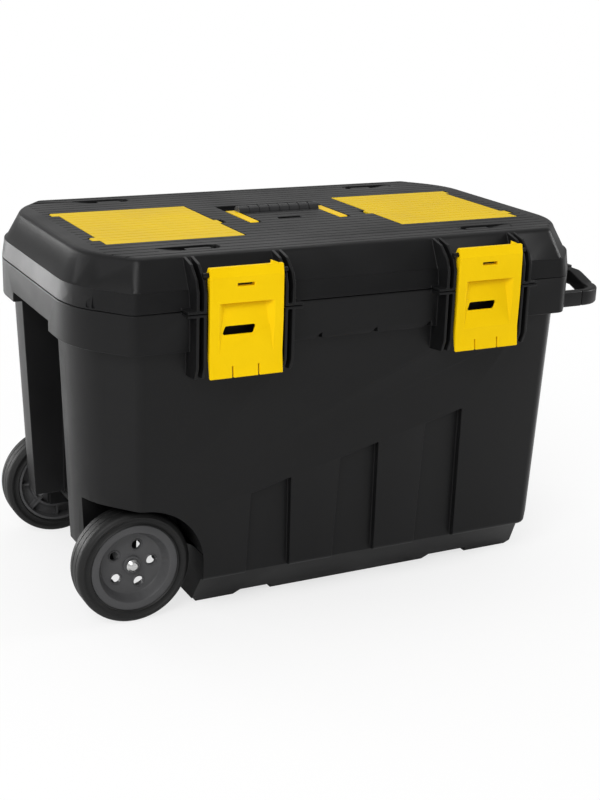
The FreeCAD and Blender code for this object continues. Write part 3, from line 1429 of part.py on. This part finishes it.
def main():
    pieces = build_all()
    doc.recompute()
    failed = [thing.Label for thing in doc.Objects if "Invalid" in thing.State or "Error" in thing.State]
    for piece in pieces:
        if piece.Shape.isNull() or not piece.Shape.isValid() or not piece.Shape.Solids:
            failed.append(piece.Label)
    if failed:
        raise RuntimeError("pieces that failed: " + ", ".join(failed))
    os.makedirs("parts", exist_ok=True)
    for piece in pieces:
        piece.Shape.exportStep(f"parts/{piece.Label}.step")
        print(piece.Label, len(piece.Shape.Solids), round(piece.Shape.Volume / 1000, 1), "cm3")


main()
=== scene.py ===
import json
import math

import bmesh
import bpy
from mathutils import Matrix, Vector


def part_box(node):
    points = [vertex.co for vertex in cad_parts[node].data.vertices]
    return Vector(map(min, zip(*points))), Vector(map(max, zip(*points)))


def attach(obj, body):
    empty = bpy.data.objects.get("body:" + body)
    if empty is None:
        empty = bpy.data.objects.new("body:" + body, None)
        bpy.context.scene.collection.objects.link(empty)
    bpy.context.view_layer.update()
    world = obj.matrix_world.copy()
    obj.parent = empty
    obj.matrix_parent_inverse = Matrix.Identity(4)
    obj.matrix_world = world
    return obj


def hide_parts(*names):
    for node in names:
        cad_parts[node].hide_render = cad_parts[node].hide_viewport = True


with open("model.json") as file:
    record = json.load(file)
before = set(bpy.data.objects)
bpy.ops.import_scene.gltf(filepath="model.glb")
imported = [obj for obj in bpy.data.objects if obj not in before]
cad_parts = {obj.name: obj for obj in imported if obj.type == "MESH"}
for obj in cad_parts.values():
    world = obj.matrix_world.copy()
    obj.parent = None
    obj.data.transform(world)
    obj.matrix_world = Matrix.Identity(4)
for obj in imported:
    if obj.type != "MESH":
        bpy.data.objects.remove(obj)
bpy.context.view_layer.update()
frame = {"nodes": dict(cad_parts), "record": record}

BODY_OF = {node: body for body, nodes in frame["record"]["behaviour"]["bodies"].items() for node in nodes}
SLOT_OF = {part["node"]: part["material_slot"] for part in frame["record"]["subparts"]}

# Camera of the photograph: turn round the box, rise over the floor, tilt, and distance to the aim point
CAMERA_TURN = math.radians(-27.17)
CAMERA_RISE = math.radians(18.08)
CAMERA_TILT = math.radians(1.86)
CAMERA_DISTANCE = 2.0685
CAMERA_AIM = Vector((0.02735, 0, 0.20839))
CAMERA_LENS = 64.215
CAMERA_SENSOR = 36

# Moulded plastic: clouds of colour, and a fine grain from the mould
CLOUD_SCALE = 9
CLOUD_DETAIL = 4
GRAIN_DETAIL = 2
GRAIN_STRENGTH = 0.35
PLASTICS = {
    "black": {
        "name": "black_moulding", "low": (0.0045, 0.0045, 0.0048), "high": (0.0065, 0.0065, 0.0068),
        "shine": 0.2, "gloss": (0.36, 0.48), "grain": 1400, "depth": 0.00012,
    },
    "yellow": {
        "name": "yellow_moulding", "low": (0.84, 0.54, 0.001), "high": (0.9, 0.59, 0.002),
        "shine": 0.06, "gloss": (0.33, 0.42), "grain": 1600, "depth": 0.00005,
    },
    # Cover yellow: the latch yellow made darker, and paler with more blue as painted sheen from light
    # glancing off the top covers
    "cover_yellow": {
        "name": "cover_moulding_painted_sheen", "low": (0.7, 0.475, 0.008), "high": (0.76, 0.525, 0.011),
        "shine": 0.1, "gloss": (0.42, 0.52), "grain": 1500, "depth": 0.00008,
    },
    "hub_grey": {
        "name": "hub_moulding", "low": (0.06, 0.06, 0.062), "high": (0.08, 0.08, 0.082),
        "shine": 0.3, "gloss": (0.42, 0.52), "grain": 1300, "depth": 0.0001,
    },
    "tyre": {
        "name": "tyre_rubber", "low": (0.007, 0.007, 0.007), "high": (0.012, 0.012, 0.012),
        "shine": 0.3, "gloss": (0.5, 0.66), "grain": 800, "depth": 0.0002,
    },
    "grip": {
        "name": "grip_rubber", "low": (0.012, 0.012, 0.013), "high": (0.018, 0.018, 0.019),
        "shine": 0.4, "gloss": (0.36, 0.5), "grain": 1000, "depth": 0.0002,
    },
}

# Plated steel: brush marks that run the long way of the chest
BRUSH_SCALE = 60
BRUSH_DETAIL = 5
BRUSH_STRETCH = (1, 14, 14)
BRUSH_STRENGTH = 0.15
BRUSH_DEPTH = 0.0003
STEEL_DARK = (0.5, 0.5, 0.5)
STEEL_BRIGHT = (0.72, 0.72, 0.71)
STEEL_GLOSS = (0.2, 0.38)

# The part of the noise that goes over from the low to the high colour or roughness
NOISE_LOW = 0.3
NOISE_HIGH = 0.7

# Copies of the moulded parts: seams closed, flat areas joined, edges rounded
MERGE_DISTANCE = 2e-6
FLAT_ANGLE = math.radians(0.6)
CREASE_ANGLE = math.radians(32)
EDGE_SEGMENTS = 3
EDGE_ROOM = 2.3
POINTED_CORNER = math.radians(40)
SOFTENED = {
    "tub_shell": 0.0012, "lid_shell": 0.0012, "left_cover": 0.0006, "right_cover": 0.0006,
    "left_latch": 0.0011, "right_latch": 0.0011, "left_carry_arm": 0.001, "right_carry_arm": 0.001,
    "front_wheel_hub": 0.0008, "rear_wheel_hub": 0.0008, "pull_handle_bar": 0.003, "front_pull_arm": 0.002,
    "rear_pull_arm": 0.002, "pull_handle_grip": 0.0009, "handle_well": 0.0008, "left_bin": 0.0008,
    "right_bin": 0.0008,
}

# The ledges and ceiling of the lid and the inner ends of the hubs: axis, and the levels they lie between
ACROSS = 0.9
KEPT_LEVELS = {
    "lid_shell": (2, 0.43, 0.48),
    "front_wheel_hub": (1, -0.155, -0.147),
    "rear_wheel_hub": (1, 0.147, 0.155),
}

# Distances from the middle of the lid between which the hinge notches of the covers lie
COVER_HINGE_STRIP = (0.303, 0.3165)

# Faces that meet at smaller angles than these are shaded as one surface
SMOOTH_ANGLE = math.radians(34)
SHELL_SMOOTH_ANGLE = math.radians(14)
LATCH_SMOOTH_ANGLE = math.radians(7)
SMOOTH_ANGLES = {
    "tub_shell": SHELL_SMOOTH_ANGLE, "lid_shell": SHELL_SMOOTH_ANGLE, "left_cover": SHELL_SMOOTH_ANGLE,
    "right_cover": SHELL_SMOOTH_ANGLE, "left_latch": LATCH_SMOOTH_ANGLE, "right_latch": LATCH_SMOOTH_ANGLE,
}

# Side of a tyre: share of the way from the bead to the tread, and how far the side sinks in there
TYRE_SIDE = [
    (0, 0.002), (0.09, 0.0004), (0.16, 0.0016), (0.28, 0.0023), (0.42, 0.0021), (0.52, 0.0009),
    (0.57, 0.0002), (0.66, 0.0002), (0.7, 0.0008), (0.8, 0.0014), (0.9, 0.0028), (0.97, 0.005), (1, 0.0082),
]
# Tread of a tyre: place across it as a share of the width, and how deep the groove is there
TREAD_GROOVES = [
    (0.16, 0), (0.15, 0.0011), (0.13, 0.0011), (0.12, 0),
    (-0.12, 0), (-0.13, 0.0011), (-0.15, 0.0011), (-0.16, 0),
]
TYRE_STEPS = 96

# Rings round the holes of a hub, on the disc that sits back from the rim
HUB_RECESS = 0.014
HUB_HOLES = 5
HOLE_CIRCLE = 0.027
HOLE_RADIUS = 0.0066
HOLE_LEAN = math.asin(0.26)
RING_WIDTH = 0.0018
RING_RISE = 0.0007
RING_CREST = 1.3
RING_STEPS = 32

# Studio: pale floor, white surroundings, soft lights
WHITE = (1, 1, 1, 1)
FLOOR_HALF = 6
FLOOR_COLOUR = (0.86, 0.86, 0.86, 1)
FLOOR_ROUGHNESS = 0.9
SHADOW_REACH = 1.5
WHITE_NEAR = 0.6
ROOM_LIGHT = 0.4
LIGHTS = {
    "key_light": {
        "place": (-1.9, -2.0, 2.4), "aim": (0, 0, 0.25), "width": 1.5, "height": 1.5, "power": 66,
    },
    "top_light": {
        "place": (0.2, 0.6, 2.6), "aim": (0, 0, 0.4), "width": 2.2, "height": 1.6, "power": 14,
    },
    "side_light": {
        "place": (-2.6, 0.4, 1.2), "aim": (-0.2, 0, 0.25), "width": 1.2, "height": 1.6, "power": 10,
    },
    "back_light": {
        "place": (0.3, 2.4, 1.7), "aim": (0, 0, 0.45), "width": 2.4, "height": 0.7, "power": 4,
    },
    "wheel_end_light": {
        "place": (-1.7, 2.4, 0.5), "aim": (-0.35, 0, 0.45), "width": 1.0, "height": 0.9, "power": 34,
    },
    "handle_end_light": {
        "place": (2.4, -0.6, 1.2), "aim": (0.35, 0, 0.4), "width": 0.6, "height": 1.0, "power": 26,
    },
}


# Materials

def shader(name):
    """A new node material with its tree and its main shader."""
    material = bpy.data.materials.new(name)
    material.use_nodes = True
    tree = material.node_tree
    return material, tree, tree.nodes["Principled BSDF"]


def object_noise(tree, scale, detail, stretch=(1, 1, 1)):
    """Noise over the object's own coordinates, stretched along its axes."""
    coords = tree.nodes.new("ShaderNodeTexCoord")
    mapping = tree.nodes.new("ShaderNodeMapping")
    mapping.inputs["Scale"].default_value = stretch
    noise = tree.nodes.new("ShaderNodeTexNoise")
    noise.inputs["Scale"].default_value = scale
    noise.inputs["Detail"].default_value = detail
    tree.links.new(coords.outputs["Object"], mapping.inputs["Vector"])
    tree.links.new(mapping.outputs["Vector"], noise.inputs["Vector"])
    return noise.outputs["Fac"]


def colour_between(tree, value, low, high):
    """A colour that goes from low to high with the noise."""
    ramp = tree.nodes.new("ShaderNodeValToRGB")
    ramp.color_ramp.elements[0].position = NOISE_LOW
    ramp.color_ramp.elements[0].color = (*low, 1)
    ramp.color_ramp.elements[1].position = NOISE_HIGH
    ramp.color_ramp.elements[1].color = (*high, 1)
    tree.links.new(value, ramp.inputs["Fac"])
    return ramp.outputs["Color"]


def number_between(tree, value, low, high):
    """A number that goes from low to high with the noise."""
    span = tree.nodes.new("ShaderNodeMapRange")
    span.inputs["From Min"].default_value = NOISE_LOW
    span.inputs["From Max"].default_value = NOISE_HIGH
    span.inputs["To Min"].default_value = low
    span.inputs["To Max"].default_value = high
    tree.links.new(value, span.inputs["Value"])
    return span.outputs["Result"]


def bumped(tree, height, strength, distance):
    """The surface's direction, tipped by the noise as a height."""
    bump = tree.nodes.new("ShaderNodeBump")
    bump.inputs["Strength"].default_value = strength
    bump.inputs["Distance"].default_value = distance
    tree.links.new(height, bump.inputs["Height"])
    return bump.outputs["Normal"]


def moulded_plastic(name, low, high, shine, gloss, grain, depth):
    """Moulded plastic: two near colours in soft clouds, a spread of roughness and a fine mould grain."""
    material, tree, surface = shader(name)
    surface.inputs["Specular IOR Level"].default_value = shine
    clouds = object_noise(tree, CLOUD_SCALE, CLOUD_DETAIL)
    fine = object_noise(tree, grain, GRAIN_DETAIL)
    tree.links.new(colour_between(tree, clouds, low, high), surface.inputs["Base Color"])
    tree.links.new(number_between(tree, clouds, *gloss), surface.inputs["Roughness"])
    tree.links.new(bumped(tree, fine, GRAIN_STRENGTH, depth), surface.inputs["Normal"])
    return material


def plated_steel(name):
    """Bright steel with brush marks."""
    material, tree, surface = shader(name)
    surface.inputs["Metallic"].default_value = 1
    brushed = object_noise(tree, BRUSH_SCALE, BRUSH_DETAIL, BRUSH_STRETCH)
    tree.links.new(colour_between(tree, brushed, STEEL_DARK, STEEL_BRIGHT), surface.inputs["Base Color"])
    tree.links.new(number_between(tree, brushed, *STEEL_GLOSS), surface.inputs["Roughness"])
    tree.links.new(bumped(tree, brushed, BRUSH_STRENGTH, BRUSH_DEPTH), surface.inputs["Normal"])
    return material


FINISHES = {slot: moulded_plastic(**plastic) for slot, plastic in PLASTICS.items()}
FINISHES["steel"] = plated_steel("plated_steel")


# Copies of the moulded parts with rounded edges

def kept_faces(form, node):
    """Narrow steps that are left as the CAD mesh has them: faces across an axis between two levels."""
    if node not in KEPT_LEVELS:
        return set()
    axis, low, high = KEPT_LEVELS[node]
    return {face for face in form.faces
            if abs(face.normal[axis]) > ACROSS and low < face.verts[0].co[axis] < high}


def merged_copy(node):
    """The node's mesh with its seams closed and its flat areas joined, apart from its kept faces."""
    form = bmesh.new()
    form.from_mesh(frame["nodes"][node].data)
    bmesh.ops.remove_doubles(form, verts=form.verts, dist=MERGE_DISTANCE)
    kept = kept_faces(form, node)
    verts = [vert for vert in form.verts if kept.isdisjoint(vert.link_faces)]
    edges = [edge for edge in form.edges if kept.isdisjoint(edge.link_faces)]
    bmesh.ops.dissolve_limit(form, angle_limit=FLAT_ANGLE, verts=verts, edges=edges)
    return form


def reach_from(face, edge):
    """How far a face goes away from one of its edges."""
    start = edge.verts[0].co
    along = (edge.verts[1].co - start).normalized()
    return max((v.co - start - along * along.dot(v.co - start)).length for v in face.verts)


def ends_in_point(edge):
    """Whether one of the faces beside an edge comes to a narrow point at its end."""
    return any(loop.calc_angle() < POINTED_CORNER for face in edge.link_faces for loop in face.loops
               if loop.vert in edge.verts)


def hinge_line_edges(form):
    """Edges of the lid along the hinge lines of the covers, whose notches have no room for rounding."""
    near, far = COVER_HINGE_STRIP
    return {edge for edge in form.edges if near < abs((edge.verts[0].co.x + edge.verts[1].co.x) / 2) < far}


def soften(form, width, kept):
    """Round the creases that have room for the width, apart from the kept edges."""
    edges = [edge for edge in form.edges
             if edge.is_manifold and edge.calc_face_angle() > CREASE_ANGLE and not ends_in_point(edge)
             and edge not in kept
             and all(reach_from(face, edge) > EDGE_ROOM * width for face in edge.link_faces)]
    bmesh.ops.bevel(form, geom=edges, offset=width, offset_type="OFFSET", segments=EDGE_SEGMENTS,
                    profile=0.5, affect="EDGES", clamp_overlap=False, material=-1)


def finished_piece(name, form, body, slot, replaces=(), smooth_angle=SMOOTH_ANGLE):
    """A piece with its finish that rides on a body, in place of the CAD nodes that it replaces."""
    mesh = bpy.data.meshes.new(name)
    form.to_mesh(mesh)
    form.free()
    mesh.polygons.foreach_set("use_smooth", [True] * len(mesh.polygons))
    mesh.set_sharp_from_angle(angle=smooth_angle)
    mesh.materials.append(FINISHES[slot])
    piece = bpy.data.objects.new(name, mesh)
    bpy.context.scene.collection.objects.link(piece)
    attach(piece, body)
    if replaces:
        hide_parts(*replaces)


def softened_node(node, width):
    """A copy of a node with its edges rounded to a width."""
    form = merged_copy(node)
    kept = {edge for face in kept_faces(form, node) for edge in face.edges}
    if node == "lid_shell":
        kept |= hinge_line_edges(form)
    soften(form, width, kept)
    smooth_angle = SMOOTH_ANGLES.get(node, SMOOTH_ANGLE)
    finished_piece(node + "_moulding", form, BODY_OF[node], SLOT_OF[node], [node], smooth_angle)


# Wheels: tyres with a ringed side and a grooved tread, and a raised ring round each hole of the hubs

def spun_ring(form, section, centre, steps):
    """Turn a closed row of corners once round a line along the axle."""
    corners = [form.verts.new(corner) for corner in section]
    edges = [form.edges.new(pair) for pair in zip(corners, corners[1:] + corners[:1])]
    bmesh.ops.spin(form, geom=corners + edges, cent=centre, axis=(0, 1, 0), angle=math.tau, steps=steps,
                   use_merge=True)


def closed(form):
    """Close the seams of spun rings and point their faces outwards."""
    bmesh.ops.remove_doubles(form, verts=form.verts, dist=MERGE_DISTANCE)
    bmesh.ops.recalc_face_normals(form, faces=form.faces)
    return form


def tyre_side(bead, tread, face, sign):
    """Points down one side of a tyre, from the bead by the hub out to the tread."""
    return [(bead + reach * (tread - bead), face - sign * sink) for reach, sink in TYRE_SIDE]


def ringed_tyre(node, hub):
    """A tyre between its hub and the tread of the CAD node that it replaces."""
    low, high = (Vector(corner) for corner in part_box(node))
    hub_low, hub_high = (Vector(corner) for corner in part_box(hub))
    middle = (low + high) / 2
    tread = (high.z - low.z) / 2
    bead = (hub_high.z - hub_low.z) / 2
    front = tyre_side(bead, tread, high.y, 1)
    back = tyre_side(bead, tread, low.y, -1)
    grooves = [(tread - depth, middle.y + place * (high.y - low.y)) for place, depth in TREAD_GROOVES]
    profile = front + grooves + back[::-1]
    form = bmesh.new()
    section = [(middle.x, along, middle.z + radius) for radius, along in profile]
    spun_ring(form, section, middle, TYRE_STEPS)
    finished_piece(node + "_ringed", closed(form), BODY_OF[node], SLOT_OF[node], [node])


def hole_rings(node, outward):
    """Low rings round the holes in a hub's disc, which sits back from the hub's rim."""
    low, high = (Vector(corner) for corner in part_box(node))
    middle = (low + high) / 2
    disc = (high.y if outward > 0 else low.y) - outward * HUB_RECESS
    profile = [
        (HOLE_RADIUS, 0),
        (HOLE_RADIUS, RING_RISE),
        (HOLE_RADIUS + RING_WIDTH / 2, RING_RISE * RING_CREST),
        (HOLE_RADIUS + RING_WIDTH, 0),
    ]
    form = bmesh.new()
    for number in range(HUB_HOLES):
        turn = HOLE_LEAN + number * math.tau / HUB_HOLES
        along = middle.x + HOLE_CIRCLE * math.sin(turn)
        height = middle.z + HOLE_CIRCLE * math.cos(turn)
        hole = Vector((along, disc, height))
        section = [hole + Vector((reach, outward * rise, 0)) for reach, rise in profile]
        spun_ring(form, section, hole, RING_STEPS)
    finished_piece(node + "_hole_rings", closed(form), BODY_OF[node], SLOT_OF[node])


for node, width in SOFTENED.items():
    softened_node(node, width)
ringed_tyre("front_wheel_tyre", "front_wheel_hub")
ringed_tyre("rear_wheel_tyre", "rear_wheel_hub")
hole_rings("front_wheel_hub", -1)
hole_rings("rear_wheel_hub", 1)

for node, thing in frame["nodes"].items():
    thing.data.materials.clear()
    thing.data.materials.append(FINISHES[SLOT_OF[node]])


# Studio

def white_by_distance(tree):
    """Share of plain white on the floor: lower under the box, full past the reach of its shadow."""
    coords = tree.nodes.new("ShaderNodeTexCoord")
    mapping = tree.nodes.new("ShaderNodeMapping")
    mapping.inputs["Scale"].default_value = (1 / SHADOW_REACH,) * 3
    round_fall = tree.nodes.new("ShaderNodeTexGradient")
    round_fall.gradient_type = "QUADRATIC_SPHERE"
    share = tree.nodes.new("ShaderNodeMapRange")
    share.inputs["To Min"].default_value = 1
    share.inputs["To Max"].default_value = WHITE_NEAR
    tree.links.new(coords.outputs["Object"], mapping.inputs["Vector"])
    tree.links.new(mapping.outputs["Vector"], round_fall.inputs["Vector"])
    tree.links.new(round_fall.outputs["Fac"], share.inputs["Value"])
    return share.outputs["Result"]


def floor_material():
    """A pale floor that the camera sees going over into plain white further out."""
    material, tree, surface = shader("pale_floor")
    surface.inputs["Base Color"].default_value = FLOOR_COLOUR
    surface.inputs["Roughness"].default_value = FLOOR_ROUGHNESS
    white = tree.nodes.new("ShaderNodeEmission")
    path = tree.nodes.new("ShaderNodeLightPath")
    faded = tree.nodes.new("ShaderNodeMixShader")
    seen = tree.nodes.new("ShaderNodeMixShader")
    tree.links.new(white_by_distance(tree), faded.inputs["Fac"])
    tree.links.new(surface.outputs["BSDF"], faded.inputs[1])
    tree.links.new(white.outputs["Emission"], faded.inputs[2])
    tree.links.new(path.outputs["Is Camera Ray"], seen.inputs["Fac"])
    tree.links.new(surface.outputs["BSDF"], seen.inputs[1])
    tree.links.new(faded.outputs["Shader"], seen.inputs[2])
    tree.links.new(seen.outputs["Shader"], tree.nodes["Material Output"].inputs["Surface"])
    return material


def studio_floor():
    """One flat sheet under the box, which takes its shadow."""
    form = bmesh.new()
    bmesh.ops.create_grid(form, x_segments=1, y_segments=1, size=FLOOR_HALF)
    mesh = bpy.data.meshes.new("floor")
    form.to_mesh(mesh)
    form.free()
    floor = bpy.data.objects.new("floor", mesh)
    bpy.context.scene.collection.objects.link(floor)
    mesh.materials.append(floor_material())


def studio_world():
    """Surroundings that are white to the camera and light the box less."""
    world = bpy.data.worlds.new("studio")
    bpy.context.scene.world = world
    world.use_nodes = True
    tree = world.node_tree
    background = tree.nodes["Background"]
    background.inputs["Color"].default_value = WHITE
    path = tree.nodes.new("ShaderNodeLightPath")
    span = tree.nodes.new("ShaderNodeMapRange")
    span.inputs["To Min"].default_value = ROOM_LIGHT
    span.inputs["To Max"].default_value = 1
    tree.links.new(path.outputs["Is Camera Ray"], span.inputs["Value"])
    tree.links.new(span.outputs["Result"], background.inputs["Strength"])


def soft_light(name, place, aim, width, height, power):
    """A flat light at a place, turned to its aim point."""
    data = bpy.data.lights.new(name, "AREA")
    data.shape = "RECTANGLE"
    data.size = width
    data.size_y = height
    data.energy = power
    light = bpy.data.objects.new(name, data)
    light.location = place
    light.rotation_euler = (Vector(aim) - Vector(place)).to_track_quat("-Z", "Y").to_euler()
    bpy.context.scene.collection.objects.link(light)


def photo_camera():
    """The camera of the photograph, with its small tilt."""
    back = Vector((math.sin(CAMERA_TURN) * math.cos(CAMERA_RISE),
                   -math.cos(CAMERA_TURN) * math.cos(CAMERA_RISE),
                   math.sin(CAMERA_RISE)))
    level = Vector((math.cos(CAMERA_TURN), math.sin(CAMERA_TURN), 0))
    upright = back.cross(level)
    right = math.cos(CAMERA_TILT) * level + math.sin(CAMERA_TILT) * upright
    up = math.cos(CAMERA_TILT) * upright - math.sin(CAMERA_TILT) * level
    data = bpy.data.cameras.new("photo_camera")
    data.lens = CAMERA_LENS
    data.sensor_width = CAMERA_SENSOR
    camera = bpy.data.objects.new("photo_camera", data)
    turn = Matrix((right, up, back)).transposed().to_4x4()
    camera.matrix_world = Matrix.Translation(CAMERA_AIM + back * CAMERA_DISTANCE) @ turn
    bpy.context.scene.collection.objects.link(camera)
    bpy.context.scene.camera = camera


studio_floor()
studio_world()
for name, light in LIGHTS.items():
    soft_light(name, **light)
photo_camera()
bpy.context.scene.view_settings.view_transform = "Standard"

bpy.context.view_layer.update()
